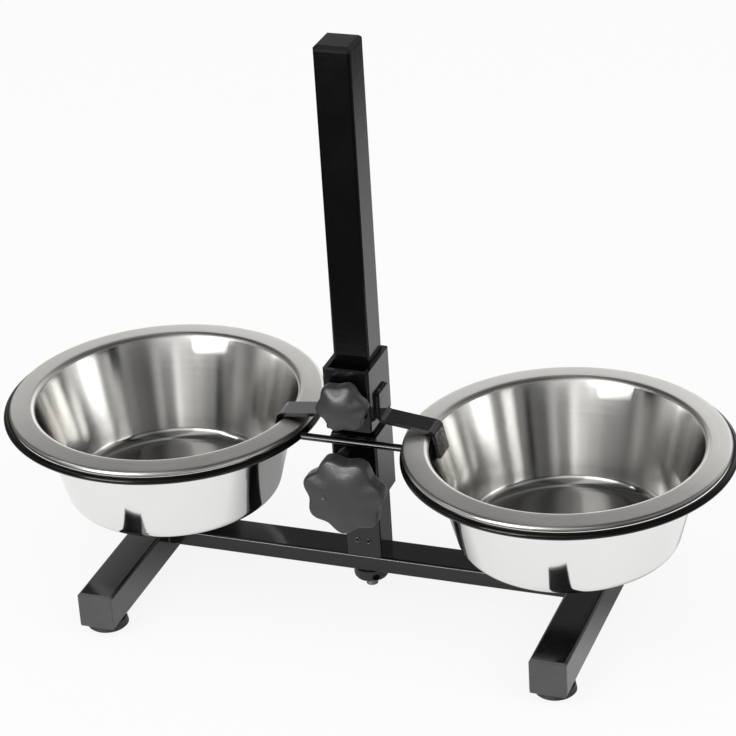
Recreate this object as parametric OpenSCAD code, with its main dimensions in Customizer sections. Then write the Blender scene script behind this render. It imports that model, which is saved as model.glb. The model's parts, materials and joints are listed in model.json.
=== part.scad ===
// Dog feeder stand: two steel bowls in wire rings that slide on a square post.
// Millimetres, +Z up, +X along the crossbar. The origin is on the floor, under the post's axis.

/* [Base] */
// Side of the square tube of the legs and the post
tube_w = 25; // [20:0.5:30]
// Wall of the square tube
tube_wall = 1.5; // [1:0.1:2.5]
// Outer corner radius of the square tube
tube_r = 2; // [1.6:0.1:3]
// Length of each leg with its end caps
leg_len = 218; // [180:1:260]
// Distance from the post's axis to a leg's axis
leg_x = 158; // [145:1:180]
// Height of the crossbar tube
bar_h = 12; // [10:0.5:16]
// Step from the leg's top down to the crossbar's top
bar_step = 1; // [0:0.5:3]
// Thickness of an end cap's flange
cap_t = 2.5; // [1.5:0.5:4]
// Depth of an end cap's plug in its tube
cap_plug = 12; // [8:1:20]

/* [Feet] */
// Foot diameter
foot_d = 28; // [22:1:34]
// Foot height
foot_h = 6; // [5:0.5:9]
// Distance from the leg's end to the foot's axis
foot_inset = 17; // [15:1:30]
// Diameter of the foot screw's thread
foot_screw_d = 5; // [4:0.5:6]
// Diameter of the foot screw's head
foot_head_d = 9.5; // [8:0.5:11]
// Height of the foot screw's head
foot_head_h = 2.8; // [2:0.2:3.4]

/* [Post] */
// Height of the post's top above the floor
post_top = 399; // [360:1:440]
// Thickness of the top cap above the tube
top_cap_t = 4; // [3:0.5:6]
// Bevel round the top cap
top_bevel = 2; // [1:0.5:2.5]
// Height of the block in the foot of the post
plug_h = 20; // [16:1:30]
// Thread diameter of the post's bolt and of both clamp studs
bolt_d = 8; // [6:0.5:10]
// Width of the hexagon nuts across flats
nut_af = 13; // [12:0.5:15]
// Thickness of the hexagon nuts
nut_t = 6.5; // [5:0.5:7]
// Diameter of the round nut under the crossbar
cap_nut_d = 24; // [20:1:25]
// Thickness of the round nut
cap_nut_t = 9; // [7:0.5:10]
// Diameter of the key hole in the round nut's side
key_hole_d = 5; // [3:0.5:6]
// Turn of the key hole from the front towards the right, in degrees
key_hole_turn = 35; // [0:5:90]
// Diameter of the washer over the round nut
washer_d = 20; // [16:1:25]
// Thickness of the washer
washer_t = 1.5; // [1:0.5:2]
// How far the bolt's end stands out of its nut
bolt_tail = 6; // [1:0.5:6.5]
// Height of the post's rivets above the crossbar
rivet_rise = 12; // [8:1:14]
// Distance between the two rivets
rivet_pitch = 8; // [7:0.5:10]
// Head diameter of a rivet
rivet_head = 5; // [4:0.5:6]
// Shank diameter of a rivet
rivet_d = 3.2; // [2.4:0.2:4]

/* [Ring carrier] */
// Plate thickness of both sleeves
sleeve_wall = 3; // [2:0.5:4]
// Height of the carrier sleeve's lower edge above the floor
carrier_z = 76; // [70:1:90]
// Height of the carrier sleeve
carrier_h = 50; // [44:1:60]
// Free space between the post and the carrier's front plate
carrier_room = 3; // [2.5:0.5:6]
// Diameter of the ring wire
wire_d = 5; // [4:0.5:6]
// Step from the carrier's upper edge down to the wire's axis
wire_drop = 3; // [2.5:0.5:6]
// Distance from the post's axis to a bowl's axis
bowl_x = 142; // [136:1:160]
// How far the ring wire's axis lies outside the rolled rim's axis
ring_spread = 1.3; // [0:0.1:3]
// How far a ring's centre lies outside its bowl's axis, away from the post
ring_shift = 2; // [0:0.5:3]
// Width of the rod screw's head across flats
rod_screw_af = 8; // [7:0.5:9]
// Distance from the post's axis to the rod screw, on the left
rod_screw_x = 7; // [0:0.5:10]

/* [Bowl lock] */
// Gap between the two sleeves
lock_gap = 8; // [6:1:14]
// Height of the lock sleeve
lock_h = 44; // [36:1:50]
// Free space between the post and the lock's front plate
lock_room = 10; // [8:0.5:12]
// Width of a hook strap
hook_w = 17; // [14:1:28]
// Thickness of a hook strap
hook_t = 2.5; // [2:0.5:4]
// Bend radius at the middle of the strap
hook_bend = 4; // [3.5:0.5:7]
// Fall of the strap's wing towards the bowl, in degrees
hook_fall = 7; // [2:1:10]
// Length of the strap that is welded to the sleeve
hook_leg = 16.5; // [12:0.5:20]
// Length of the strap's end along the bowl's inner wall
hook_tab = 16; // [8:1:20]
// Gap between the strap and the bowl
hook_gap = 0.6; // [0.5:0.1:2]

/* [Knobs] */
// Diameter of the carrier's knob over its lobes
big_knob_d = 59; // [44:1:62]
// Height of the carrier knob's axis above the carrier sleeve's lower edge
big_knob_rise = 18; // [14:1:24]
// Thickness of the carrier knob's head
big_knob_t = 15; // [11:1:18]
// Length of the carrier knob's neck
big_neck = 8; // [4:1:12]
// Diameter of the lock's knob over its lobes
small_knob_d = 37; // [30:1:44]
// Thickness of the lock knob's head
small_knob_t = 12; // [9:1:14]
// Length of the lock knob's neck
small_neck = 3; // [1:0.5:4]
// Lobes on the carrier's knob
big_knob_lobes = 7; // [5:1:8]
// Lobes on the lock's knob
small_knob_lobes = 6; // [5:1:8]
// Depth of the hollows between lobes, as a share of the knob's radius
lobe_depth = 0.14; // [0.08:0.01:0.2]
// Rise of a knob's domed face
knob_dome = 4; // [2:0.5:6]

/* [Bowls] */
// Outer radius of the rolled rim
rim_r = 108; // [102:1:110]
// Radius of the mouth, at the top of the flange's bend
mouth_r = 92.5; // [88:0.5:95]
// Depth of the bowl
bowl_depth = 73; // [60:1:78]
// Sheet thickness
bowl_t = 0.8; // [0.6:0.1:1.2]
// Slope of the wall from upright, in degrees
wall_slope = 12; // [8:1:18]
// Radius between floor and wall
floor_bend = 12; // [8:1:20]
// Radius between wall and flange
mouth_bend = 2.5; // [2:0.5:5]
// Fall of the flange towards the rim, in degrees
flange_fall = 6; // [2:1:10]
// Radius of the rolled edge at the middle of the sheet
roll_r = 1.4; // [1:0.1:3.2]
// Angle that the rolled edge turns through, in degrees
roll_turn = 250; // [200:10:270]

/* [Hidden] */
$fn = 64;
// Clearances: sliding sleeve, fixed fit, seated curved faces, thread in its nut
slide_gap = 0.5;
fit_gap = 0.1;
seat_gap = 0.3;
thread_gap = 0.1;
weld_gap = 0.05;
arc_step = 12;
bolt_head_t = 5.5;
screw_tail = 6;
rivet_head_t = 1.2;
rivet_len = 6;
cap_nut_edge = 4;
key_hole_depth = 5;
rod_screw_d = 5;
rod_screw_head_t = 3.5;
rod_screw_len = 5;
stud_embed = 0.7;
foot_chamfer = 1;
foot_taper = 1;
bar_r = 1.6;
sleeve_r = 2.2;
knob_edge = 2.5;
knob_points = 96;
big_knob_phase = 60.5;
small_knob_phase = 8;

steel_black = "#1c1c1e";
plastic_black = "#2c2c2e";
rubber_black = "#242426";
steel_bright = "#c9c8c4";
steel_zinc = "#8f9092";

leg_bottom = foot_h;
leg_top = foot_h + tube_w;
bar_top = leg_top - bar_step;
bar_bottom = bar_top - bar_h;
foot_y = leg_len / 2 - foot_inset;
post_tube_top = post_top - top_cap_t;
plug_w = tube_w - 2 * tube_wall - 2 * fit_gap;

sleeve_in = tube_w / 2 + slide_gap;
sleeve_out = sleeve_in + sleeve_wall;
carrier_front = tube_w / 2 + carrier_room + sleeve_wall;
lock_front = tube_w / 2 + lock_room + sleeve_wall;
carrier_top = carrier_z + carrier_h;
lock_z = carrier_top + lock_gap;
wire_z = carrier_top - wire_drop;
big_knob_z = carrier_z + big_knob_rise;
small_knob_z = lock_z + lock_h / 2;
rod_screw_z = (wire_z - wire_d / 2 + big_knob_z + nut_af / sqrt(3)) / 2;

// Bowl profile: the sheet's middle line starts on the axis and ends in the rolled edge
wall_len = (bowl_depth - (floor_bend + mouth_bend) * (1 - sin(wall_slope))) / cos(wall_slope);
floor_r = mouth_r - (floor_bend + mouth_bend) * cos(wall_slope) - wall_len * sin(wall_slope);
flange_len = (rim_r - roll_r - bowl_t / 2 - mouth_r + (roll_r - mouth_bend) * sin(flange_fall))
  / cos(flange_fall);
rim_drop = mouth_bend * (1 - cos(flange_fall)) + flange_len * sin(flange_fall)
  + roll_r * (1 + cos(flange_fall)) + bowl_t / 2;
rim_half = roll_r + bowl_t / 2;
ring_r = rim_r - rim_half + ring_spread;
seat_reach = rim_half + wire_d / 2 + seat_gap;
seat_off = max(0, ring_spread - ring_shift);
rim_z = wire_z + sqrt(seat_reach * seat_reach - seat_off * seat_off);
ring_x = bowl_x + ring_shift;
mouth_z = rim_z - rim_half + rim_drop;
bowl_z = mouth_z - bowl_depth;

// Hook: the wing clears the mouth's top, and the strap's end runs down along the sloping wall
hook_y = (sleeve_out - lock_front) / 2;
hook_edge = abs(hook_y) + hook_w / 2;
hook_x = sleeve_out + weld_gap + hook_t / 2;
bend_run = hook_bend * (1 - sin(hook_fall));
wing_z = mouth_z + bowl_t / 2 + hook_gap + hook_t / 2 / cos(hook_fall)
  + (bowl_x - mouth_r + mouth_bend - hook_x - bend_run) * tan(hook_fall);
wall_top_r = mouth_r - mouth_bend * cos(wall_slope) + mouth_bend * (1 - sin(wall_slope)) * tan(wall_slope);
wall_line_x = bowl_x - sqrt(wall_top_r * wall_top_r - hook_edge * hook_edge)
  + (bowl_t / 2 + hook_gap + hook_t / 2) / cos(wall_slope);
tab_run = hook_bend * (cos(wall_slope) - sin(hook_fall));
tab_fall = hook_bend * (cos(hook_fall) - sin(wall_slope));
wing_len = (wall_line_x - hook_x - bend_run - tab_run + (mouth_z - wing_z + tab_fall) * tan(wall_slope))
  / (cos(hook_fall) - sin(hook_fall) * tan(wall_slope));
hook_top = wing_z + hook_bend * cos(hook_fall) + hook_leg;

// A strip's middle line is a list of moves [length, turn]. A turn takes its length as a radius.
function arc_points(p, h, r, turn, n) =
  let (s = sign(turn), c = p + s * r * [-sin(h), cos(h)])
  [for (i = [1 : n]) let (k = h + turn * i / n) [c + s * r * [sin(k), -cos(k)], k]];
function walk(moves, p, h, i = 0) = i == len(moves) ? [] :
  let (
    m = moves[i],
    n = max(3, ceil(abs(m[1]) / arc_step)),
    out = m[1] == 0 ? [[p + m[0] * [cos(h), sin(h)], h]] : arc_points(p, h, m[0], m[1], n),
    last = out[len(out) - 1]
  ) concat(out, walk(moves, last[0], last[1], i + 1));
function strip(moves, p, h, t) =
  let (line = concat([[p, h]], walk(moves, p, h)), n = len(line))
  concat(
    [for (q = line) q[0] + t / 2 * [-sin(q[1]), cos(q[1])]],
    [for (i = [n - 1 : -1 : 0]) line[i][0] - t / 2 * [-sin(line[i][1]), cos(line[i][1])]]
  );
function lobed(r, lobes, phase) =
  [for (i = [0 : knob_points - 1])
    let (a = 360 * i / knob_points, dip = r * lobe_depth * (1 - cos(lobes * (a - phase))) / 2)
    (r - dip) * [cos(a), sin(a)]];

module rounded(w, d, r) {
  square([w - 2 * r, d], center = true);
  square([w, d - 2 * r], center = true);
  for (x = [-1, 1], y = [-1, 1])
    translate([x * (w / 2 - r), y * (d / 2 - r)]) circle(r);
}

module tube(w, d, r, length) {
  linear_extrude(length, center = true) difference() {
    rounded(w, d, r);
    rounded(w - 2 * tube_wall, d - 2 * tube_wall, max(r - tube_wall, 0.1));
  }
}

// Moulded cap: a flange over the tube's end and a plug inside it, pointing along +Z
module tube_cap(t, bevel) {
  side = [[-tube_w / 2, 0], [tube_w / 2, 0], [tube_w / 2, t - bevel],
    [tube_w / 2 - bevel, t], [bevel - tube_w / 2, t], [-tube_w / 2, t - bevel]];
  intersection() {
    rotate([90, 0, 0]) linear_extrude(tube_w, center = true) polygon(side);
    rotate([90, 0, 90]) linear_extrude(tube_w, center = true) polygon(side);
    linear_extrude(t) rounded(tube_w, tube_w, tube_r);
  }
  translate([0, 0, -cap_plug]) linear_extrude(cap_plug) difference() {
    square(plug_w, center = true);
    square(plug_w - 2 * tube_wall - 1, center = true);
  }
}

module hex(af, t, bore_d) {
  linear_extrude(t) difference() {
    circle(af / sqrt(3), $fn = 6);
    if (bore_d > 0) circle(bore_d / 2);
  }
}

module leg(side) {
  color(steel_black) difference() {
    translate([side * leg_x, 0, leg_bottom + tube_w / 2]) rotate([90, 0, 0])
      tube(tube_w, tube_w, tube_r, leg_len - 2 * cap_t);
    for (y = [-foot_y, foot_y])
      translate([side * leg_x, y, leg_bottom - 1]) cylinder(h = tube_wall + 2, d = foot_screw_d + 2 * fit_gap);
  }
}
module left_leg() { leg(-1); }
module right_leg() { leg(1); }

module crossbar() {
  color(steel_black) difference() {
    translate([0, 0, (bar_top + bar_bottom) / 2]) rotate([90, 0, 90])
      tube(tube_w, bar_h, bar_r, 2 * leg_x - tube_w);
    translate([0, 0, bar_bottom - 1]) cylinder(h = bar_h + 2, d = bolt_d + 2 * fit_gap);
  }
}

module leg_cap(side, end) {
  color(plastic_black) translate([side * leg_x, end * (leg_len / 2 - cap_t), leg_bottom + tube_w / 2])
    rotate([-90 * end, 0, 0]) tube_cap(cap_t, cap_t / 4);
}
module left_front_cap() { leg_cap(-1, -1); }
module left_rear_cap() { leg_cap(-1, 1); }
module right_front_cap() { leg_cap(1, -1); }
module right_rear_cap() { leg_cap(1, 1); }

module foot(side, end) {
  r = foot_d / 2;
  head_r = foot_head_d / 2 + 3 * fit_gap;
  recess = foot_head_h + fit_gap * 4;
  color(rubber_black) translate([side * leg_x, end * foot_y, 0]) rotate_extrude()
    polygon([[head_r, 0], [r - foot_chamfer, 0], [r, foot_chamfer], [r - foot_taper, foot_h],
      [foot_screw_d / 2 + fit_gap, foot_h], [foot_screw_d / 2 + fit_gap, recess], [head_r, recess]]);
}
module left_front_foot() { foot(-1, -1); }
module left_rear_foot() { foot(-1, 1); }
module right_front_foot() { foot(1, -1); }
module right_rear_foot() { foot(1, 1); }

module foot_screws() {
  recess = foot_head_h + fit_gap * 4;
  color(steel_zinc) for (x = [-leg_x, leg_x], y = [-foot_y, foot_y]) translate([x, y, 0]) {
    translate([0, 0, recess - foot_head_h]) cylinder(h = foot_head_h, d = foot_head_d);
    translate([0, 0, recess]) cylinder(h = foot_h - recess + tube_wall + screw_tail, d = foot_screw_d);
  }
}

module rivet_holes() {
  for (x = [-rivet_pitch / 2, rivet_pitch / 2])
    translate([x, rivet_len - tube_w / 2 + fit_gap, bar_top + rivet_rise]) rotate([90, 0, 0])
      cylinder(h = rivet_len + 2, d = rivet_d + 2 * fit_gap);
}

module post() {
  color(steel_black) difference() {
    translate([0, 0, (bar_top + post_tube_top) / 2]) tube(tube_w, tube_w, tube_r, post_tube_top - bar_top);
    rivet_holes();
  }
}

module post_top_cap() {
  color(plastic_black) translate([0, 0, post_tube_top]) tube_cap(top_cap_t, top_bevel);
}

module post_base_plug() {
  color(steel_zinc) difference() {
    translate([-plug_w / 2, -plug_w / 2, bar_top]) cube([plug_w, plug_w, plug_h]);
    translate([0, 0, bar_top - 1]) cylinder(h = plug_h + 2, d = bolt_d + 2 * fit_gap);
    rivet_holes();
  }
}

module post_bolt() {
  shank = plug_h + bar_h + washer_t + cap_nut_t + bolt_tail;
  color(steel_zinc) {
    translate([0, 0, bar_top + plug_h]) hex(nut_af, bolt_head_t, 0);
    translate([0, 0, bar_top + plug_h - shank]) cylinder(h = shank, d = bolt_d);
  }
}

module post_washer() {
  color(steel_black) translate([0, 0, bar_bottom - washer_t]) linear_extrude(washer_t) difference() {
    circle(d = washer_d);
    circle(d = bolt_d + 2 * fit_gap);
  }
}

// Round nut with a rounded lower edge and a key hole in its side
module post_nut() {
  r = cap_nut_d / 2;
  bore = bolt_d / 2 + thread_gap;
  edge = [for (k = [0 : 22.5 : 90]) [r - cap_nut_edge + cap_nut_edge * sin(k), cap_nut_edge * (1 - cos(k))]];
  color(steel_black) translate([0, 0, bar_bottom - washer_t - cap_nut_t]) difference() {
    rotate_extrude() polygon(concat([[bore, 0]], edge, [[r, cap_nut_t], [bore, cap_nut_t]]));
    rotate([90, 0, key_hole_turn]) translate([0, cap_nut_t / 2, r - key_hole_depth])
      cylinder(h = key_hole_depth + 1, d = key_hole_d);
  }
}

module post_rivets() {
  color(steel_black) for (x = [-rivet_pitch / 2, rivet_pitch / 2])
    translate([x, -tube_w / 2, bar_top + rivet_rise]) {
      rotate([90, 0, 0]) cylinder(h = rivet_head_t, d = rivet_head);
      rotate([-90, 0, 0]) cylinder(h = rivet_len, d = rivet_d);
    }
}

// Welded plate sleeve, open above and below, with a clearance hole for the clamp stud
module sleeve(z, h, front, stud_z) {
  difference() {
    translate([0, (sleeve_out - front) / 2, z]) linear_extrude(h) difference() {
      rounded(2 * sleeve_out, sleeve_out + front, sleeve_r);
      square([2 * sleeve_in, sleeve_out + front - 2 * sleeve_wall], center = true);
    }
    translate([0, 1 - front + sleeve_wall, stud_z]) rotate([90, 0, 0])
      cylinder(h = sleeve_wall + 2, d = bolt_d + 1);
    children();
  }
}

module carrier_sleeve() {
  color(steel_black) sleeve(carrier_z, carrier_h, carrier_front, big_knob_z)
    translate([-rod_screw_x, 1 - carrier_front + sleeve_wall, rod_screw_z]) rotate([90, 0, 0])
      cylinder(h = sleeve_wall + 2, d = rod_screw_d + 2 * fit_gap);
}

module ring(side, extra = 0) {
  translate([side * ring_x, 0, wire_z]) rotate_extrude() translate([ring_r, 0]) circle(wire_d / 2 + extra);
}
module left_ring() { color(steel_black) ring(-1); }
module right_ring() { color(steel_black) ring(1); }

// A rod's ends are saddled against the two rings
module rod(y) {
  reach = ring_x - sqrt(ring_r * ring_r - y * y);
  color(steel_black) difference() {
    translate([-reach, y, wire_z]) rotate([0, 90, 0]) cylinder(h = 2 * reach, d = wire_d);
    ring(-1, weld_gap);
    ring(1, weld_gap);
  }
}
module front_rod() { rod(-(carrier_front + wire_d / 2 + weld_gap)); }
module rear_rod() { rod(sleeve_out + wire_d / 2 + weld_gap); }

module rod_screw() {
  color(steel_zinc) translate([-rod_screw_x, -carrier_front, rod_screw_z]) {
    rotate([90, 30, 0]) hex(rod_screw_af, rod_screw_head_t, 0);
    rotate([-90, 0, 0]) cylinder(h = rod_screw_len, d = rod_screw_d);
  }
}

module carrier_nut() {
  color(steel_zinc) translate([0, -carrier_front, big_knob_z]) rotate([90, 0, 0])
    hex(nut_af, nut_t, bolt_d + 2 * thread_gap);
}

module lock_nut() {
  color(steel_zinc) translate([0, sleeve_wall - lock_front, small_knob_z]) rotate([-90, 0, 0])
    hex(nut_af, nut_t, bolt_d + 2 * thread_gap);
}

// Moulded knob along +Z: a neck, then a lobed head with a domed face and a blind bore for its stud
module knob(d, t, neck, lobes, phase) {
  r = d / 2;
  face = neck + t;
  dome_r = (r * r + knob_dome * knob_dome) / (2 * knob_dome);
  edge_z = face - knob_dome;
  difference() {
    union() {
      intersection() {
        translate([0, 0, neck]) linear_extrude(t) polygon(lobed(r, lobes, phase));
        translate([0, 0, face - dome_r]) sphere(dome_r);
        rotate_extrude() polygon([[0, 0], [r - knob_edge, neck], [r, neck + knob_edge],
          [r, edge_z - knob_edge / 2], [r - knob_edge, face], [0, face]]);
      }
      cylinder(h = neck + 1, r = r * 0.42);
    }
    translate([0, 0, -1]) cylinder(h = face - knob_dome + 1, d = bolt_d + 2 * weld_gap);
  }
}

module carrier_knob() {
  color(plastic_black) translate([0, -(carrier_front + nut_t + seat_gap), big_knob_z]) rotate([90, 0, 0])
    knob(big_knob_d, big_knob_t, big_neck, big_knob_lobes, big_knob_phase);
}
module lock_knob() {
  color(plastic_black) translate([0, -(lock_front + seat_gap), small_knob_z]) rotate([90, 0, 0])
    knob(small_knob_d, small_knob_t, small_neck, small_knob_lobes, small_knob_phase);
}

// Clamp stud from the post's face to the bottom of the knob's bore
module stud(z, knob_base, bore_depth) {
  start = tube_w / 2 + thread_gap;
  color(steel_zinc) translate([0, -start, z]) rotate([90, 0, 0])
    cylinder(h = knob_base + bore_depth - stud_embed - start, d = bolt_d);
}
module carrier_stud() {
  stud(big_knob_z, carrier_front + nut_t + seat_gap, big_neck + big_knob_t - knob_dome);
}
module lock_stud() {
  stud(small_knob_z, lock_front + seat_gap, small_neck + small_knob_t - knob_dome);
}

module lock_sleeve() { color(steel_black) sleeve(lock_z, lock_h, lock_front, small_knob_z); }

module hook(side) {
  moves = [[hook_leg, 0], [hook_bend, 90 - hook_fall], [wing_len, 0],
    [hook_bend, hook_fall + wall_slope - 90], [hook_tab, 0]];
  color(steel_black) translate([0, hook_y + hook_w / 2, 0]) rotate([90, 0, 0]) linear_extrude(hook_w)
    mirror([side < 0 ? 1 : 0, 0]) polygon(strip(moves, [hook_x, hook_top], -90, hook_t));
}
module left_hook() { hook(-1); }
module right_hook() { hook(1); }

module bowl(side) {
  moves = [[floor_r, 0], [floor_bend, 90 - wall_slope], [wall_len, 0],
    [mouth_bend, wall_slope - 90 - flange_fall], [flange_len, 0], [roll_r, -roll_turn]];
  color(steel_bright) translate([side * bowl_x, 0, bowl_z]) rotate_extrude()
    polygon(strip(moves, [0, 0], 0, bowl_t));
}
module left_bowl() { bowl(-1); }
module right_bowl() { bowl(1); }

left_leg();
right_leg();
crossbar();
left_front_cap();
left_rear_cap();
right_front_cap();
right_rear_cap();
left_front_foot();
left_rear_foot();
right_front_foot();
right_rear_foot();
foot_screws();
post();
post_top_cap();
post_base_plug();
post_bolt();
post_washer();
post_nut();
post_rivets();
carrier_sleeve();
left_ring();
right_ring();
front_rod();
rear_rod();
rod_screw();
carrier_nut();
carrier_knob();
carrier_stud();
lock_sleeve();
left_hook();
right_hook();
lock_nut();
lock_knob();
lock_stud();
left_bowl();
right_bowl();
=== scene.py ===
import json
import math

import bmesh
import bpy
from mathutils import Matrix, Vector


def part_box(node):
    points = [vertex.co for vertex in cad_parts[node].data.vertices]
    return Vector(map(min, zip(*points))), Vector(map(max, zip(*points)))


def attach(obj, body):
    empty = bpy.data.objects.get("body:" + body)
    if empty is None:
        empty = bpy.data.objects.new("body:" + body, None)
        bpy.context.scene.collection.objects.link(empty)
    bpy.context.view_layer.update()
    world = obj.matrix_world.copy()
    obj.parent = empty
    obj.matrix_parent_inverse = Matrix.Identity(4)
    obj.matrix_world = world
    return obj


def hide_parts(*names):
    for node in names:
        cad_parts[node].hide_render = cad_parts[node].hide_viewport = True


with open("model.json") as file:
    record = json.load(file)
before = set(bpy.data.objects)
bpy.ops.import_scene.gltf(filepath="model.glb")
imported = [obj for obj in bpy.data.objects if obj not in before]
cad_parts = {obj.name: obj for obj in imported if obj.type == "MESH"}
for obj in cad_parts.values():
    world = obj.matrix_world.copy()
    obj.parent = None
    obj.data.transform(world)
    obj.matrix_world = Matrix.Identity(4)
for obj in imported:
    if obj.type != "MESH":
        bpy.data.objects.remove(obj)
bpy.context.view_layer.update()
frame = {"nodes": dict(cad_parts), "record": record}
nodes = frame["nodes"]
print("stage 1: frame loaded,", len(nodes), "nodes")


# shared helpers: lengths are in metres and angles in degrees

def shares(steps):
    return [(i + 1) / steps for i in range(steps)]


def heading(angle):
    # unit vector in a flat section, in degrees from the first axis
    return Vector((math.cos(math.radians(angle)), math.sin(math.radians(angle))))


def direction(azimuth, elevation):
    # unit vector in the room: degrees from +X towards +Y, and degrees up
    turn, lift = math.radians(azimuth), math.radians(elevation)
    return Vector((math.cos(turn) * math.cos(lift), math.sin(turn) * math.cos(lift), math.sin(lift)))


def linkObject(name, data):
    item = bpy.data.objects.new(name, data)
    bpy.context.scene.collection.objects.link(item)
    return item


def finishPiece(piece, body, slot, *replaced):
    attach(piece, body)
    if replaced:
        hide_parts(*replaced)


def feed(tree, node, inputs):
    # an input takes a link from another node's socket, or else a plain value
    for name, value in inputs.items():
        if isinstance(value, bpy.types.NodeSocket):
            tree.links.new(value, node.inputs[name])
        else:
            node.inputs[name].default_value = value
    return node


def addNode(tree, kind, inputs=None, place=(0, 0), **settings):
    node = tree.nodes.new(kind)
    node.location = place
    for key, value in settings.items():
        setattr(node, key, value)
    return feed(tree, node, inputs or {})


def mathNode(tree, operation, *values):
    return addNode(tree, "ShaderNodeMath", dict(enumerate(values)), operation=operation).outputs[0]


def multiply(tree, product, *others):
    for other in others:
        product = mathNode(tree, "MULTIPLY", product, other)
    return product


def between(tree, share, low, high):
    return mathNode(tree, "MULTIPLY_ADD", share, mathNode(tree, "SUBTRACT", high, low), low)


def rangeNode(tree, value, before, after):
    node = addNode(tree, "ShaderNodeMapRange", {
        "Value": value, "From Min": before[0], "From Max": before[1],
        "To Min": after[0], "To Max": after[1]})
    return node.outputs["Result"]


def mixNode(tree, factor, first, second, **settings):
    node = addNode(tree, "ShaderNodeMix", {"Factor": factor, "A": first, "B": second}, **settings)
    return node.outputs["Result"]


def newGroup(name, kind, inputs, outputs):
    group = bpy.data.node_groups.new(name, kind)
    for label, holds, value in inputs:
        socket = group.interface.new_socket(name=label, in_out="INPUT", socket_type="NodeSocket" + holds)
        if value is not None:
            socket.default_value = value
    for label, holds in outputs:
        group.interface.new_socket(name=label, in_out="OUTPUT", socket_type="NodeSocket" + holds)
    return group, addNode(group, "NodeGroupInput", place=(-900, 0)).outputs


# shader groups: each gives a height for the bump, a roughness and a share for the colour

def paintSkinGroup():
    # sprayed paint: soft orange peel, small runs of gloss and a few dust nibs
    nibEdge = (0.03, 0.09)
    group, start = newGroup("paintSkin", "ShaderNodeTree", [
        ("Vector", "Vector", None), ("Peel Scale", "Float", 420.0), ("Gloss", "Float", 0.2),
        ("Gloss Spread", "Float", 0.08), ("Nib Rise", "Float", 0.25)],
        [("Height", "Float"), ("Roughness", "Float"), ("Nibs", "Float")])
    peel = addNode(group, "ShaderNodeTexNoise", {
        "Vector": start["Vector"], "Scale": start["Peel Scale"], "Detail": 2.0, "Roughness": 0.45},
        (-600, 200))
    cloud = addNode(group, "ShaderNodeTexNoise", {
        "Vector": start["Vector"], "Scale": 38.0, "Detail": 4.0, "Roughness": 0.6}, (-600, -60))
    speck = addNode(group, "ShaderNodeTexVoronoi", {
        "Vector": start["Vector"], "Scale": 260.0, "Randomness": 1.0}, (-600, -320))
    nibs = rangeNode(group, speck.outputs["Distance"], nibEdge, (1.0, 0.0))
    low = mathNode(group, "SUBTRACT", start["Gloss"], start["Gloss Spread"])
    high = mathNode(group, "ADD", start["Gloss"], start["Gloss Spread"])
    addNode(group, "NodeGroupOutput", {
        "Height": mathNode(group, "MULTIPLY_ADD", nibs, start["Nib Rise"], peel.outputs["Fac"]),
        "Roughness": between(group, cloud.outputs["Fac"], low, high), "Nibs": nibs}, (700, 0))
    return group


def mouldGrainGroup():
    # spark-eroded mould texture with slightly worn, smoother patches
    patchEdge = (0.15, 0.85)
    group, start = newGroup("mouldGrain", "ShaderNodeTree", [
        ("Vector", "Vector", None), ("Grain Scale", "Float", 1500.0), ("Rough Low", "Float", 0.4),
        ("Rough High", "Float", 0.55)],
        [("Height", "Float"), ("Roughness", "Float"), ("Patch", "Float")])
    grain = addNode(group, "ShaderNodeTexNoise", {
        "Vector": start["Vector"], "Scale": start["Grain Scale"], "Detail": 3.0, "Roughness": 0.6},
        (-600, 200))
    cloud = addNode(group, "ShaderNodeTexNoise", {
        "Vector": start["Vector"], "Scale": 60.0, "Detail": 4.0, "Roughness": 0.55}, (-600, -100))
    patch = rangeNode(group, cloud.outputs["Fac"], patchEdge, (0.0, 1.0))
    addNode(group, "NodeGroupOutput", {
        "Height": grain.outputs["Fac"], "Patch": patch,
        "Roughness": between(group, patch, start["Rough Low"], start["Rough High"])}, (700, 0))
    return group


def spunSteelGroup():
    # lines left by spinning and brushing the sheet, drawn along the piece's own UV map
    group, start = newGroup("spunSteel", "ShaderNodeTree", [
        ("UV", "Vector", None), ("Vector", "Vector", None), ("Lines", "Float", 900.0),
        ("Breaks", "Float", 6.0), ("Rough Low", "Float", 0.2), ("Rough High", "Float", 0.35),
        ("Streak", "Float", 0.3)],
        [("Height", "Float"), ("Roughness", "Float"), ("Shade", "Float")])
    split = addNode(group, "ShaderNodeSeparateXYZ", {0: start["UV"]}, (-800, 240))
    drawn = addNode(group, "ShaderNodeCombineXYZ", {
        "X": multiply(group, split.outputs["X"], start["Breaks"]),
        "Y": multiply(group, split.outputs["Y"], start["Lines"])}, (-500, 240))
    lines = addNode(group, "ShaderNodeTexNoise", {
        "Vector": drawn.outputs[0], "Scale": 1.0, "Detail": 3.0, "Roughness": 0.7}, (-300, 240))
    smear = addNode(group, "ShaderNodeTexNoise", {
        "Vector": start["Vector"], "Scale": 26.0, "Detail": 5.0, "Roughness": 0.6}, (-300, -40))
    worn = between(group, 0.5, lines.outputs["Fac"], smear.outputs["Fac"])
    shade = multiply(group, mathNode(group, "SUBTRACT", worn, 0.5), start["Streak"])
    addNode(group, "NodeGroupOutput", {
        "Height": lines.outputs["Fac"], "Shade": mathNode(group, "ADD", shade, 1.0),
        "Roughness": between(group, worn, start["Rough Low"], start["Rough High"])}, (700, 0))
    return group


paintSkin = paintSkinGroup()
mouldGrain = mouldGrainGroup()
spunSteel = spunSteelGroup()


# materials

bowlMap = "sheetMap"


def newMaterial(name):
    material = bpy.data.materials.new(name)
    material.use_nodes = True
    tree = material.node_tree
    return material, tree, tree.nodes["Principled BSDF"]


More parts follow.
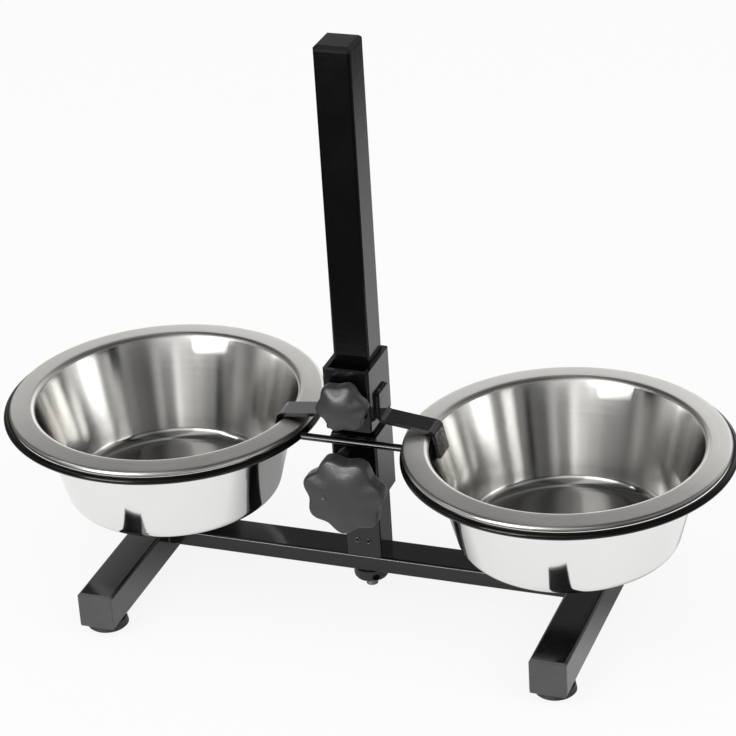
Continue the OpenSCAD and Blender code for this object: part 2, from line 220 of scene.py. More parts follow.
def placeSkin(tree, group, inputs):
    source = addNode(tree, "ShaderNodeTexCoord", place=(-950, 0)).outputs
    skin = addNode(tree, "ShaderNodeGroup", {"Vector": source["Object"], **inputs}, (-700, 0),
                   node_tree=group)
    if "UV" in skin.inputs:
        tree.links.new(source["UV"], skin.inputs["UV"])
    return skin.outputs


def mixColors(tree, share, first, second):
    return mixNode(tree, share, (*first, 1), (*second, 1), data_type="RGBA")


def bumpNode(tree, height, strength, depth):
    bump = addNode(tree, "ShaderNodeBump", {
        "Height": height, "Strength": strength, "Distance": depth}, (-300, -250))
    return bump.outputs["Normal"]


def paintMaterial(name, paint):
    material, tree, shader = newMaterial(name)
    skin = placeSkin(tree, paintSkin, {
        "Peel Scale": paint["peelScale"], "Gloss": paint["gloss"], "Gloss Spread": paint["glossSpread"]})
    feed(tree, shader, {
        "Base Color": mixColors(tree, skin["Nibs"], paint["color"], paint["nibColor"]),
        "Normal": bumpNode(tree, skin["Height"], paint["peel"], paint["peelDepth"]),
        "Roughness": skin["Roughness"], "IOR": paint["ior"]})
    return material


def grainMaterial(name, grain, metallic=0.0):
    material, tree, shader = newMaterial(name)
    skin = placeSkin(tree, mouldGrain, {
        "Grain Scale": grain["grainScale"], "Rough Low": grain["rough"][0], "Rough High": grain["rough"][1]})
    feed(tree, shader, {
        "Base Color": mixColors(tree, skin["Patch"], grain["color"], grain["wornColor"]),
        "Normal": bumpNode(tree, skin["Height"], grain["grain"], grain["grainDepth"]),
        "Roughness": skin["Roughness"], "IOR": grain["ior"], "Metallic": metallic})
    return material


def steelMaterial(name, steel):
    material, tree, shader = newMaterial(name)
    skin = placeSkin(tree, spunSteel, {
        "Lines": steel["lines"], "Rough Low": steel["rough"][0], "Rough High": steel["rough"][1],
        "Streak": steel["streak"]})
    tone = mixNode(tree, 1.0, (*steel["color"], 1), skin["Shade"], data_type="RGBA", blend_type="MULTIPLY")
    feed(tree, shader, {
        "Base Color": tone, "Roughness": skin["Roughness"], "Metallic": 1.0,
        "Anisotropic": steel["anisotropy"],
        "Normal": bumpNode(tree, skin["Height"], steel["bump"], steel["bumpDepth"])})
    if steel["anisotropy"]:
        # lines run round the bowl, so a quarter turn draws its highlights out across them
        tangent = addNode(tree, "ShaderNodeTangent", direction_type="UV_MAP", uv_map=bowlMap)
        feed(tree, shader, {"Anisotropic Rotation": 0.25, "Tangent": tangent.outputs[0]})
    return material


blackPaint = paintMaterial("blackPaint", dict(
    color=(0.004, 0.004, 0.0045), nibColor=(0.012, 0.012, 0.012), gloss=0.13, glossSpread=0.05,
    peelScale=420.0, peel=0.10, peelDepth=0.0004, ior=1.52))
wirePaint = paintMaterial("wirePaint", dict(
    color=(0.004, 0.004, 0.0045), nibColor=(0.012, 0.012, 0.012), gloss=0.12, glossSpread=0.04,
    peelScale=900.0, peel=0.08, peelDepth=0.0003, ior=1.6))
# painted shade: the rings take a darker copy of the wire paint with a low IOR, so their highlights are
# weaker than on the rods of the same wire
ringPaintWithPaintedShade = paintMaterial("ringPaintWithPaintedShade", dict(
    color=(0.003, 0.003, 0.0035), nibColor=(0.010, 0.010, 0.010), gloss=0.16, glossSpread=0.04,
    peelScale=900.0, peel=0.08, peelDepth=0.0003, ior=1.36))
hardwareBlack = paintMaterial("hardwareBlack", dict(
    color=(0.018, 0.018, 0.019), nibColor=(0.05, 0.05, 0.05), gloss=0.26, glossSpread=0.08,
    peelScale=700.0, peel=0.12, peelDepth=0.0003, ior=1.5))
capPlastic = grainMaterial("capPlastic", dict(
    color=(0.068, 0.069, 0.069), wornColor=(0.098, 0.099, 0.099), rough=(0.42, 0.55), ior=1.46,
    grainScale=1700.0, grain=0.16, grainDepth=0.0003))
# painted shade: the post's top cap is a darker copy of the cap plastic, rougher and with a low IOR, so its
# top reads darker than the leg caps
postCapPlasticWithPaintedShade = grainMaterial("postCapPlasticWithPaintedShade", dict(
    color=(0.012, 0.012, 0.012), wornColor=(0.020, 0.020, 0.020), rough=(0.5, 0.62), ior=1.22,
    grainScale=1700.0, grain=0.16, grainDepth=0.0003))
knobPlastic = grainMaterial("knobPlastic", dict(
    color=(0.034, 0.035, 0.035), wornColor=(0.048, 0.049, 0.049), rough=(0.26, 0.36), ior=1.5,
    grainScale=1500.0, grain=0.2, grainDepth=0.0004))
footRubber = grainMaterial("footRubber", dict(
    color=(0.020, 0.020, 0.020), wornColor=(0.040, 0.040, 0.040), rough=(0.5, 0.7), ior=1.45,
    grainScale=1300.0, grain=0.25, grainDepth=0.0004))
zincSteel = grainMaterial("zincSteel", dict(
    color=(0.17, 0.17, 0.172), wornColor=(0.30, 0.30, 0.30), rough=(0.34, 0.48), ior=1.5,
    grainScale=900.0, grain=0.1, grainDepth=0.0002), metallic=1.0)
insideSteel = steelMaterial("insideSteel", dict(
    color=(0.83, 0.823, 0.803), lines=1500.0, rough=(0.08, 0.18), streak=0.4, anisotropy=0.85,
    bump=0.05, bumpDepth=0.0002))
# the flange's rougher satin brushing is its own; its darker, warmer colour than the rest of the sheet is
# painted shade
flangeSteelWithPaintedShade = steelMaterial("flangeSteelWithPaintedShade", dict(
    color=(0.70, 0.686, 0.659), lines=2200.0, rough=(0.26, 0.38), streak=0.5, anisotropy=0.6,
    bump=0.05, bumpDepth=0.0002))
outsideSteel = steelMaterial("outsideSteel", dict(
    color=(0.86, 0.855, 0.845), lines=900.0, rough=(0.05, 0.12), streak=0.10, anisotropy=0.0,
    bump=0.02, bumpDepth=0.0001))

finishOf = {"black_paint": blackPaint, "black_wire": wirePaint, "cap_plastic": capPlastic,
            "foot_rubber": footRubber, "knob_plastic": knobPlastic, "zinc_steel": zincSteel,
            "black_hardware": hardwareBlack, "bowl_steel": outsideSteel}
for entry in frame["record"]["subparts"]:
    cadMesh = nodes[entry["node"]].data
    cadMesh.materials.clear()
    cadMesh.materials.append(finishOf[entry["material_slot"]])
nodes["rod_screw"].data.materials[0] = hardwareBlack
# painted shade: the post's top cap takes the darker copy of the cap plastic
nodes["post_top_cap"].data.materials[0] = postCapPlasticWithPaintedShade
print("stage 2: materials made")


# bowls: one spun sheet each, with its own zones for floor and wall, flange and outside

bowlShape = dict(mouthRadius=0.0937, depth=0.073, sheet=0.0008, wallSlope=14.5, floorBend=0.010,
                 mouthBend=0.0033, flangeFall=3.5, rollRadius=0.0017, rollTurn=300.0,
                 around=256, arcStep=5.0, arcFewest=4, flatStep=0.004)
# the flange zone takes the steel copy with painted shade
bowlFinishes = dict(wall=insideSteel, flange=flangeSteelWithPaintedShade, outside=outsideSteel)


def walkStrip(moves, shape):
    # moves are (length, turn in degrees, zone): a turn takes its length as a radius
    line = [(Vector((0, 0)), 0.0, moves[0][2])]
    for length, turn, zone in moves:
        start, angle, _ = line[-1]
        if turn == 0:
            steps = max(1, int(length / shape["flatStep"]))
            line += [(start + heading(angle) * length * share, angle, zone) for share in shares(steps)]
            continue
        side = math.copysign(90, turn)
        centre = start + length * heading(angle + side)
        for share in shares(max(shape["arcFewest"], int(abs(turn) / shape["arcStep"]))):
            now = angle + turn * share
            line.append((centre - length * heading(now + side), now, zone))
    return line


def bowlLine(shape, rimRadius):
    # the middle of the sheet, from the floor's centre to the end of the rolled rim
    slope = math.radians(shape["wallSlope"])
    fall = math.radians(shape["flangeFall"])
    bends = shape["floorBend"] + shape["mouthBend"]
    wall = (shape["depth"] - bends * (1 - math.sin(slope))) / math.cos(slope)
    floor = shape["mouthRadius"] - bends * math.cos(slope) - wall * math.sin(slope)
    reach = rimRadius - shape["rollRadius"] - shape["sheet"] / 2 - shape["mouthRadius"]
    flange = (reach + (shape["rollRadius"] - shape["mouthBend"]) * math.sin(fall)) / math.cos(fall)
    moves = [(floor, 0, "wall"), (shape["floorBend"], 90 - shape["wallSlope"], "wall"), (wall, 0, "wall"),
             (shape["mouthBend"], shape["wallSlope"] - 90 - shape["flangeFall"], "flange"),
             (flange, 0, "flange"), (shape["rollRadius"], -shape["rollTurn"], "flange")]
    return walkStrip(moves, shape)


def spinBowl(name, node, shape):
    low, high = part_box(node)
    centre = (low + high) / 2
    half = shape["sheet"] / 2
    base = low.z + half
    line = bowlLine(shape, (high.x - low.x) / 2)
    # out along the inside and back along the outside
    section = [(point + half * heading(angle + 90), zone) for point, angle, zone in line]
    section += [(point - half * heading(angle + 90), "outside") for point, angle, _ in line[::-1]]
    lengths = [0.0]
    for (first, _), (second, _) in zip(section, section[1:]):
        lengths.append(lengths[-1] + (second - first).length)
    work = bmesh.new()
    uvLayer = work.loops.layers.uv.new(bowlMap)
    around = shape["around"]
    rings = []
    for point, _ in section:
        ring = []
        for i in range(around if point.x > half else 1):  # one vertex on the axis
            out = point.x * heading(360 * i / around)
            ring.append(work.verts.new((centre.x + out.x, centre.y + out.y, base + point.y)))
        rings.append(ring)
    zones = list(bowlFinishes)
    for i, (first, second) in enumerate(zip(rings, rings[1:])):
        slot = zones.index(section[i + 1][1])
        for k in range(around):
            corners = [(first, k, 0), (first, k + 1, 0), (second, k + 1, 1), (second, k, 1)]
            corners = [(ring, j, step) for ring, j, step in corners if len(ring) > 1 or j == k]
            face = work.faces.new([ring[j % len(ring)] for ring, j, _ in corners])
            face.material_index = slot
            face.smooth = True
            for corner, (_, j, step) in zip(face.loops, corners):
                corner[uvLayer].uv = (j / around, lengths[i + step])
    bmesh.ops.recalc_face_normals(work, faces=work.faces)
    mesh = bpy.data.meshes.new(name)
    work.to_mesh(mesh)
    work.free()
    for material in bowlFinishes.values():
        mesh.materials.append(material)
    finishPiece(linkObject(name, mesh), node, "bowl_steel", node)


for side in ("left", "right"):
    spinBowl(side + "SpunBowl", side + "_bowl", bowlShape)
print("stage 3: bowls spun")


# knobs: lobed heads with a domed face, each the size of its solid

knobShapes = [dict(name="carrierStarKnob", node="carrier_knob", lobes=7, phase=60.5, neck=0.008,
                   gateMark=(-0.0125, 0.0)),
              dict(name="lockStarKnob", node="lock_knob", lobes=6, phase=8.0, neck=0.003, gateMark=None)]
knobForm = dict(lobeDepth=0.14, lobeFade=1.25, dome=0.004, edge=0.0028, edgeStart=0.6, edgeTurn=72.0,
                neckShare=0.42, neckChamfer=0.0006, baseShare=0.5,
                around=196, backSteps=4, backEdgeSteps=6, edgeSteps=8, faceSteps=28)
gateMark = dict(radius=0.0024, depth=0.0013, aboveNeck=0.002, lobesBelow=0.9)


def knobProfile(radius, depth, neck):
    # (radius, distance in front of the base, share of the lobes) from the base to the middle of the face
    edge, chamfer = knobForm["edge"], knobForm["neckChamfer"]
    hub = radius * knobForm["neckShare"]
    inner = radius - edge
    shoulder = depth - knobForm["dome"] - edge * knobForm["edgeStart"]
    line = [(hub * knobForm["baseShare"], 0.0, 0.0), (hub - chamfer, 0.0, 0.0), (hub, chamfer, 0.0),
            (hub, neck, 0.0)]
    for share in shares(knobForm["backSteps"]):
        line.append((hub + (inner - hub) * share, neck, share))
    for share in shares(knobForm["backEdgeSteps"]):
        turn = math.radians(90 * share)
        line.append((inner + edge * math.sin(turn), neck + edge * (1 - math.cos(turn)), 1.0))
    line.append((radius, shoulder, 1.0))
    for share in shares(knobForm["edgeSteps"]):
        turn = math.radians(knobForm["edgeTurn"] * share)
        line.append((inner + edge * math.cos(turn), shoulder + edge * math.sin(turn), 1.0))
    rimRadius, rimDepth, _ = line[-1]
    for share in shares(knobForm["faceSteps"])[-2::-1]:
        lobes = min(1.0, share * knobForm["lobeFade"]) ** 2
        line.append((rimRadius * share, depth - (depth - rimDepth) * share ** 2, lobes))
    return line


def lobedRadius(radius, angle, shape, share):
    wave = math.cos(math.radians(shape["lobes"] * (angle - shape["phase"])))
    return radius * (1 - knobForm["lobeDepth"] * (1 - wave) / 2 * share)


def makeKnob(shape):
    low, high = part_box(shape["node"])
    middle = (low + high) / 2
    studLow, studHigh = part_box(shape["node"].replace("knob", "stud"))
    axis = (studLow.z + studHigh.z) / 2
    radius = max(high.x - low.x, high.z - low.z) / 2
    around = knobForm["around"]
    work = bmesh.new()
    rings = []
    for reach, front, share in knobProfile(radius, high.y - low.y, shape["neck"]):
        onFace = share < gateMark["lobesBelow"] and front > shape["neck"] + gateMark["aboveNeck"]
        ring = []
        for i in range(around):
            angle = 360 * i / around
            x, z = lobedRadius(reach, angle, shape, share) * heading(angle)
            y = high.y - front
            if shape["gateMark"] and onFace:
                away = math.hypot(x - shape["gateMark"][0], z - shape["gateMark"][1]) / gateMark["radius"]
                y += gateMark["depth"] * (1 + math.cos(math.pi * min(1.0, away))) / 2
            ring.append(work.verts.new((middle.x + x, y, axis + z)))
        rings.append(ring)
    for first, second in zip(rings, rings[1:]):
        for i in range(around):
            work.faces.new((first[i], first[(i + 1) % around], second[(i + 1) % around], second[i]))
    for ring, depth in ((rings[0], high.y), (rings[-1], low.y)):
        pole = work.verts.new((middle.x, depth, axis))
        for i in range(around):
            work.faces.new((ring[i], ring[(i + 1) % around], pole))
    bmesh.ops.recalc_face_normals(work, faces=work.faces)
    for face in work.faces:
        face.smooth = True
    mesh = bpy.data.meshes.new(shape["name"])
    work.to_mesh(mesh)
    work.free()
    mesh.materials.append(knobPlastic)
    finishPiece(linkObject(shape["name"], mesh), shape["node"], "knob_plastic", shape["node"])


for shape in knobShapes:
    makeKnob(shape)
print("stage 4: knobs moulded")


# geometry node trees for what repeats or follows a path

def startTree(name, inputs):
    return newGroup(name, "GeometryNodeTree",
                    [("Geometry", "Geometry", None), *inputs, ("Finish", "Material", None)],
                    [("Geometry", "Geometry")])


def sweepRing(tree, ring, wire):
    # a closed round wire: each circle is (radius, steps)
    curves = []
    for height, (radius, steps) in ((-100, ring), (-300, wire)):
        circle = addNode(tree, "GeometryNodeCurvePrimitiveCircle", {"Radius": radius, "Resolution": steps},
                         (-700, height), mode="RADIUS")
        curves.append(circle.outputs["Curve"])
    sweep = addNode(tree, "GeometryNodeCurveToMesh", {
        "Curve": curves[0], "Profile Curve": curves[1]}, (-450, -200))
    return sweep.outputs["Mesh"]


def endTree(tree, start, geometry):
    smooth = addNode(tree, "GeometryNodeSetShadeSmooth", {"Geometry": geometry}, (300, 0))
    real = addNode(tree, "GeometryNodeRealizeInstances", {"Geometry": smooth.outputs["Geometry"]}, (500, 0))
    paint = addNode(tree, "GeometryNodeSetMaterial", {
        "Geometry": real.outputs["Geometry"], "Material": start["Finish"]}, (700, 0))
    addNode(tree, "NodeGroupOutput", {"Geometry": paint.outputs["Geometry"]}, (900, 0))
    return tree


def runTree(name, tree, seedPoints, seedEdges, values):
    seed = bpy.data.meshes.new(name + "Seed")
    seed.from_pydata(seedPoints, seedEdges, [])
    piece = linkObject(name, seed)
    modifier = piece.modifiers.new("shape", "NODES")
    modifier.node_group = tree
    for item in tree.interface.items_tree:
        if item.in_out == "INPUT" and item.name in values:
            modifier[item.identifier] = values[item.name]
    made = piece.evaluated_get(bpy.context.evaluated_depsgraph_get())
    mesh = bpy.data.meshes.new_from_object(made)
    piece.modifiers.remove(modifier)
    piece.data = mesh
    mesh.name = name
    bpy.data.meshes.remove(seed)
    work = bmesh.new()
    work.from_mesh(mesh)
    bmesh.ops.recalc_face_normals(work, faces=work.faces)
    work.to_mesh(mesh)
    work.free()
    return piece


def wireRingTree():
    tree, start = startTree("wireRing", [
        ("Ring Radius", "Float", 0.1), ("Wire Radius", "Float", 0.0025), ("Around", "Int", 256),
        ("Across", "Int", 24), ("Centre", "Vector", None), ("Tilt", "Vector", None)])
    wire = sweepRing(tree, (start["Ring Radius"], start["Around"]), (start["Wire Radius"], start["Across"]))
    move = addNode(tree, "GeometryNodeTransform", {
        "Geometry": wire, "Translation": start["Centre"], "Rotation": start["Tilt"]})
    return endTree(tree, start, move.outputs["Geometry"])


def weldBeadTree():
    # overlapping drops along each seam, as a wire welder leaves them
    tree, start = startTree("weldBead", [
        ("Drop Radius", "Float", 0.0016), ("Drop Pitch", "Float", 0.0011), ("Smallest", "Float", 0.8),
        ("Largest", "Float", 1.15), ("Seed", "Int", 3)])
    path = addNode(tree, "GeometryNodeMeshToCurve", {"Mesh": start["Geometry"]}, (-700, 100))
    row = addNode(tree, "GeometryNodeResampleCurve", {
        "Curve": path.outputs["Curve"], "Length": start["Drop Pitch"]}, (-500, 100), mode="LENGTH")
    drop = addNode(tree, "GeometryNodeMeshIcoSphere", {
        "Radius": start["Drop Radius"], "Subdivisions": 2}, (-500, -100))
    vary = addNode(tree, "FunctionNodeRandomValue", {
        2: start["Smallest"], 3: start["Largest"], "Seed": start["Seed"]}, (-500, -300), data_type="FLOAT")
    place = addNode(tree, "GeometryNodeInstanceOnPoints", {
        "Points": row.outputs["Curve"], "Instance": drop.outputs["Mesh"], "Scale": vary.outputs[1]},
        (-200, 0))
    return endTree(tree, start, place.outputs["Instances"])


def rivetHeadTree():
    # pulled rivets: a flattened ring round the hollow that the mandrel leaves
    tree, start = startTree("rivetHead", [
        ("Ring Radius", "Float", 0.0016), ("Ring Wall", "Float", 0.0009), ("Around", "Int", 40),
        ("Across", "Int", 14), ("Rise", "Float", 0.6), ("Turn", "Vector", None)])
    ring = sweepRing(tree, (start["Ring Radius"], start["Around"]), (start["Ring Wall"], start["Across"]))
    flat = addNode(tree, "ShaderNodeCombineXYZ", {"X": 1.0, "Y": 1.0, "Z": start["Rise"]}, (-450, -400))
    place = addNode(tree, "GeometryNodeInstanceOnPoints", {
        "Points": start["Geometry"], "Instance": ring, "Rotation": start["Turn"], "Scale": flat.outputs[0]},
        (-200, 0))
    return endTree(tree, start, place.outputs["Instances"])


def threadTree():
    # one ridge for each turn of a screw's thread
    tree, start = startTree("threadTurns", [
        ("Turns", "Int", 4), ("Pitch", "Vector", None), ("First", "Vector", None),
        ("Thread Radius", "Float", 0.004), ("Ridge", "Float", 0.0004), ("Around", "Int", 48),
        ("Across", "Int", 8)])
    row = addNode(tree, "GeometryNodeMeshLine", {
        "Count": start["Turns"], "Start Location": start["First"], "Offset": start["Pitch"]}, (-600, 200),
        mode="OFFSET")
    ridge = sweepRing(tree, (start["Thread Radius"], start["Around"]), (start["Ridge"], start["Across"]))
    place = addNode(tree, "GeometryNodeInstanceOnPoints", {
        "Points": row.outputs["Mesh"], "Instance": ridge}, (-100, 0))
    return endTree(tree, start, place.outputs["Instances"])


wireRing = wireRingTree()
weldBead = weldBeadTree()
rivetHead = rivetHeadTree()
threadTurns = threadTree()

# the rings are a touch wider than their solids and rise to the outer end, close under the rolled rim
ringShape = dict(around=288, across=28, wider=0.0007, rise=0.0013)
for side, outward in (("left", -1), ("right", 1)):
    low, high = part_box(side + "_ring")
    wire = (high.z - low.z) / 2
    radius = (high.x - low.x) / 2 - wire + ringShape["wider"]
    centre = (low + high) / 2 + Vector((-outward * ringShape["wider"], 0, ringShape["rise"] / 2))
    tilt = -outward * math.asin(ringShape["rise"] / 2 / radius)
    # painted shade: each ring takes the darker, less glossy copy of the wire paint
    ring = runTree(side + "WireRing", wireRing, [], [], {
        "Ring Radius": radius, "Wire Radius": wire, "Centre": tuple(centre), "Tilt": (0, tilt, 0),
        "Around": ringShape["around"], "Across": ringShape["across"], "Finish": ringPaintWithPaintedShade})
    finishPiece(ring, "carrier", "black_wire", side + "_ring")

rivetShape = dict(wallShare=0.36, rise=0.7, around=40, across=14)
low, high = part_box("post_rivets")
headRadius = (high.z - low.z) / 2
headWall = headRadius * rivetShape["wallShare"]
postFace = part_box("post")[0].y
headPlaces = [(x, postFace, (low.z + high.z) / 2) for x in (low.x + headRadius, high.x - headRadius)]
heads = runTree("postRivetHeads", rivetHead, headPlaces, [], {
    "Ring Radius": headRadius - headWall, "Ring Wall": headWall, "Rise": rivetShape["rise"],
    "Around": rivetShape["around"], "Across": rivetShape["across"], "Turn": (math.radians(90), 0, 0),
    "Finish": hardwareBlack})
finishPiece(heads, "stand", "black_hardware", "post_rivets")

boltThread = dict(radius=0.004, pitch=0.00125, ridge=0.0004, around=48, across=8)
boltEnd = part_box("post_bolt")[0].z
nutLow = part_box("post_nut")[0].z
tail = runTree("boltThread", threadTurns, [], [], {
    "Turns": int((nutLow - boltEnd) / boltThread["pitch"]), "Pitch": (0, 0, -boltThread["pitch"]),
    "First": (0, 0, nutLow - boltThread["pitch"] / 2), "Ridge": boltThread["ridge"],
    "Thread Radius": boltThread["radius"] - boltThread["ridge"] / 2,
    "Around": boltThread["around"], "Across": boltThread["across"], "Finish": zincSteel})
finishPiece(tail, "stand", "zinc_steel")

# welds: seams stop short of the pieces' edges, and each rod has short ones above and below where it touches
weldShape = dict(dropRadius=0.0015, dropPitch=0.0011, smallest=0.8, largest=1.15, seed=3, inset=0.002,
                 rodRun=0.011, rodAside=0.009, rodInward=0.72, rodUp=0.7, hookOut=0.0004, hookFoot=0.008)


def weldSeams(name, body, seams):
    points = [point for seam in seams for point in seam]
    edges = [(i, i + 1) for i in range(0, len(points), 2)]
    bead = runTree(name, weldBead, points, edges, {
        "Drop Radius": weldShape["dropRadius"], "Drop Pitch": weldShape["dropPitch"],
        "Smallest": weldShape["smallest"], "Largest": weldShape["largest"], "Seed": weldShape["seed"],
        "Finish": blackPaint})
    finishPiece(bead, body, "black_paint")


def threeSides(x, low, high, bottom):
    # along the top and down both edges of a strip's end
    inset = weldShape["inset"]
    seams = [((x, low.y + inset, high.z), (x, high.y - inset, high.z))]
    return seams + [((x, y, bottom), (x, y, high.z - inset)) for y in (low.y, high.y)]


barLow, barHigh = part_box("crossbar")
legSeams = []
for x in (barLow.x, barHigh.x):
    legSeams += threeSides(x, barLow, barHigh, barLow.z + weldShape["inset"])
weldSeams("legWelds", "stand", legSeams)

rodSeams = []
for rod, side in (("front_rod", 1), ("rear_rod", -1)):
    low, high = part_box(rod)
    middle = (low + high) / 2
    rodRadius = (high.z - low.z) / 2
    y = middle.y + side * rodRadius * weldShape["rodInward"]
    for up in (-weldShape["rodUp"], weldShape["rodUp"]):
        z = middle.z + rodRadius * up
        for x in (-weldShape["rodAside"], weldShape["rodAside"]):
            rodSeams.append(((x - weldShape["rodRun"] / 2, y, z), (x + weldShape["rodRun"] / 2, y, z)))
weldSeams("rodWelds", "carrier", rodSeams)

hookSeams = []
sleeveLow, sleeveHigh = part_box("lock_sleeve")
for side in ("left", "right"):
    low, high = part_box(side + "_hook")
    x = math.copysign(sleeveHigh.x + weldShape["hookOut"], low.x + high.x)
    hookSeams += threeSides(x, low, high, sleeveLow.z + weldShape["hookFoot"])
weldSeams("hookWelds", "lock", hookSeams)
print("stage 5: rings, rivets, thread and welds made")


# floor: white to the camera, while mirrors and gloss see a glowing paper sheet with ends and painted shade
# under the stand

floorSheet = dict(size=6.0, color=(0.94, 0.94, 0.94), roughness=0.9, cameraWhite=0.88, mirrorGlow=0.7,
                  frontEdge=(-0.38, -0.20), beyondFront=0.03, backEdge=(0.15, 0.80), beyondBack=0.55,
                  sideEdge=(0.30, 0.38), beyondSide=0.12, shade=0.65, shadeFront=(-0.05, 0.02),
                  shadeBack=(0.12, 0.22), shadeSide=(0.20, 0.235))


def makeFloor():
    half = floorSheet["size"] / 2
    mesh = bpy.data.meshes.new("studioFloor")
    mesh.from_pydata([(-half, -half, 0), (half, -half, 0), (half, half, 0), (-half, half, 0)], [],
                     [(0, 1, 2, 3)])
    material, tree, shader = newMaterial("floorPaper")
    source = addNode(tree, "ShaderNodeTexCoord")
    split = addNode(tree, "ShaderNodeSeparateXYZ", {0: source.outputs["Object"]})
    back = split.outputs["Y"]
    aside = mathNode(tree, "ABSOLUTE", split.outputs["X"])
    # painted shade: for mirrors and gloss, the floor's colour and glow are darker under the stand
    under = multiply(tree,
                     rangeNode(tree, back, floorSheet["shadeFront"], (0.0, floorSheet["shade"])),
                     rangeNode(tree, back, floorSheet["shadeBack"], (1.0, 0.0)),
                     rangeNode(tree, aside, floorSheet["shadeSide"], (1.0, 0.0)))
    sheet = multiply(tree,
                     rangeNode(tree, back, floorSheet["frontEdge"], (floorSheet["beyondFront"], 1.0)),
                     rangeNode(tree, back, floorSheet["backEdge"], (1.0, floorSheet["beyondBack"])),
                     rangeNode(tree, aside, floorSheet["sideEdge"], (1.0, floorSheet["beyondSide"])),
                     mathNode(tree, "SUBTRACT", 1.0, under))
    path = addNode(tree, "ShaderNodeLightPath").outputs
    tint = mixNode(tree, path["Is Glossy Ray"], 1.0, sheet, data_type="FLOAT")
    paper = mixNode(tree, 1.0, (*floorSheet["color"], 1), tint, data_type="RGBA", blend_type="MULTIPLY")
    feed(tree, shader, {
        "Base Color": paper, "Roughness": floorSheet["roughness"], "Specular IOR Level": 0.0})
    surface = shader.outputs[0]
    for ray, share, strength in (("Is Glossy Ray", floorSheet["mirrorGlow"], sheet),
                                 ("Is Camera Ray", floorSheet["cameraWhite"], 1.0)):
        glow = addNode(tree, "ShaderNodeEmission", {"Strength": strength})
        mix = addNode(tree, "ShaderNodeMixShader", {
            "Fac": multiply(tree, path[ray], share), 1: surface, 2: glow.outputs[0]})
        surface = mix.outputs[0]
    feed(tree, tree.nodes["Material Output"], {"Surface": surface})
    mesh.materials.append(material)
    linkObject("studioFloor", mesh)


# room: white to the camera, even for diffuse light, with upright light and dark bands for mirrors and gloss

room = dict(diffuse=0.65, horizon=(-0.05, 0.08), below=0.10, ceiling=(0.45, 0.68), above=0.18,
            doorway=(111.3, 33.0), doorwayEdge=(14.53, 8.11), doorwayLevel=0.15)
# (azimuth from +X towards +Y, level)
roomBands = [(-180, 0.3), (-166, 0.3), (-150, 0.45), (-139, 0.3), (-130, 0.5), (-124, 2.0), (-112, 2.6),
             (-96, 2.6), (-88, 1.2), (-72, 0.8), (-45, 0.2), (-20, 0.4), (-5, 0.2), (15, 0.3), (32, 0.35),
             (60, 0.65), (80, 1.0), (95, 1.6), (113, 1.8), (121, 1.2), (130, 0.6), (142, 0.15), (170, 0.2),
             (180, 0.3)]


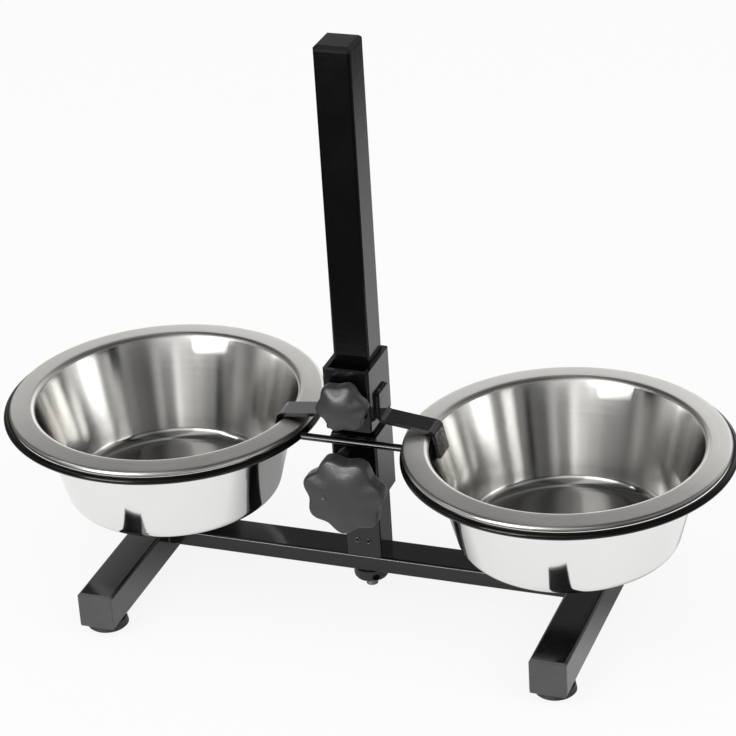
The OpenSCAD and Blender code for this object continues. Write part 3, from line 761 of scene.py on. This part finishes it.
def makeWorld():
    world = bpy.data.worlds.new("studioWorld")
    bpy.context.scene.world = world
    world.use_nodes = True
    tree = world.node_tree
    tree.nodes.clear()
    ahead = addNode(tree, "ShaderNodeTexCoord").outputs["Generated"]
    split = addNode(tree, "ShaderNodeSeparateXYZ", {0: ahead})
    low = rangeNode(tree, split.outputs["Z"], room["horizon"], (room["below"], 1.0))
    top = rangeNode(tree, split.outputs["Z"], room["ceiling"], (1.0, room["above"]))
    # a dark doorway stands where the flanges mirror it to the camera
    facing = addNode(tree, "ShaderNodeVectorMath", {0: ahead, 1: direction(*room["doorway"])},
                     operation="DOT_PRODUCT")
    edge = [math.cos(math.radians(angle)) for angle in room["doorwayEdge"]]
    doorway = rangeNode(tree, facing.outputs["Value"], edge, (1.0, room["doorwayLevel"]))
    turn = mathNode(tree, "ARCTAN2", split.outputs["Y"], split.outputs["X"])
    bands = addNode(tree, "ShaderNodeValToRGB", {
        "Fac": rangeNode(tree, turn, (-math.pi, math.pi), (0.0, 1.0))})
    bands.color_ramp.interpolation = "EASE"
    stops = [((azimuth + 180) / 360, level) for azimuth, level in roomBands]
    for position, _ in stops[1:-1]:
        bands.color_ramp.elements.new(position)
    for stop, (position, level) in zip(bands.color_ramp.elements, stops):
        stop.position = position
        stop.color = (level, level, level, 1)
    sky = multiply(tree, low, top, doorway, bands.outputs["Color"])
    path = addNode(tree, "ShaderNodeLightPath").outputs
    shine = mixNode(tree, path["Is Glossy Ray"], room["diffuse"], sky, data_type="FLOAT")
    seen = mixNode(tree, path["Is Camera Ray"], shine, 1.0, data_type="FLOAT")
    light = addNode(tree, "ShaderNodeBackground", {"Color": (1, 1, 1, 1), "Strength": seen})
    addNode(tree, "ShaderNodeOutputWorld", {"Surface": light.outputs[0]})


# lamps: the mirrored ones show only in mirrors and gloss, the others only in diffuse light

lamps = [dict(name="keyLamp", place=(-0.75, -0.95, 1.60), size=(0.9, 0.9), watts=7.0, mirrored=False),
         dict(name="sideLamp", place=(1.35, -0.25, 1.0), size=(0.7, 1.1), watts=6.0, mirrored=False),
         dict(name="frontLamp", place=(-0.62, -1.60, 0.16), size=(0.9, 0.22), watts=14.0, mirrored=True),
         dict(name="leftCard", place=(-0.557, -0.312, 0.53), size=(0.25, 0.06), watts=0.20, mirrored=True)]
lampAim = Vector((0, 0, 0.12))


def makeLamps():
    for lamp in lamps:
        data = bpy.data.lights.new(lamp["name"], "AREA")
        data.shape = "RECTANGLE"
        data.size, data.size_y = lamp["size"]
        data.energy = lamp["watts"]
        item = linkObject(lamp["name"], data)
        item.location = lamp["place"]
        item.rotation_euler = (lampAim - item.location).to_track_quat("-Z", "Y").to_euler()
        item.visible_camera = False
        item.visible_glossy = lamp["mirrored"]
        item.visible_diffuse = not lamp["mirrored"]


cameraView = dict(azimuth=-68.655, elevation=27.38, roll=-3.652, distance=1.8942,
                  aim=(0.0077, -0.0026, 0.1699), lens=140.49, sensor=36.0)


def makeCamera():
    data = bpy.data.cameras.new("photoCamera")
    data.lens = cameraView["lens"]
    data.sensor_width = cameraView["sensor"]
    back = direction(cameraView["azimuth"], cameraView["elevation"])
    level = (-back).to_track_quat("-Z", "Y").to_matrix().to_4x4()
    place = Matrix.Translation(Vector(cameraView["aim"]) + back * cameraView["distance"])
    item = linkObject("photoCamera", data)
    item.matrix_world = place @ level @ Matrix.Rotation(math.radians(cameraView["roll"]), 4, "Z")
    bpy.context.scene.camera = item


makeFloor()
makeWorld()
makeLamps()
makeCamera()
bpy.context.scene.view_settings.view_transform = "Standard"
print("stage 6: studio and camera set")
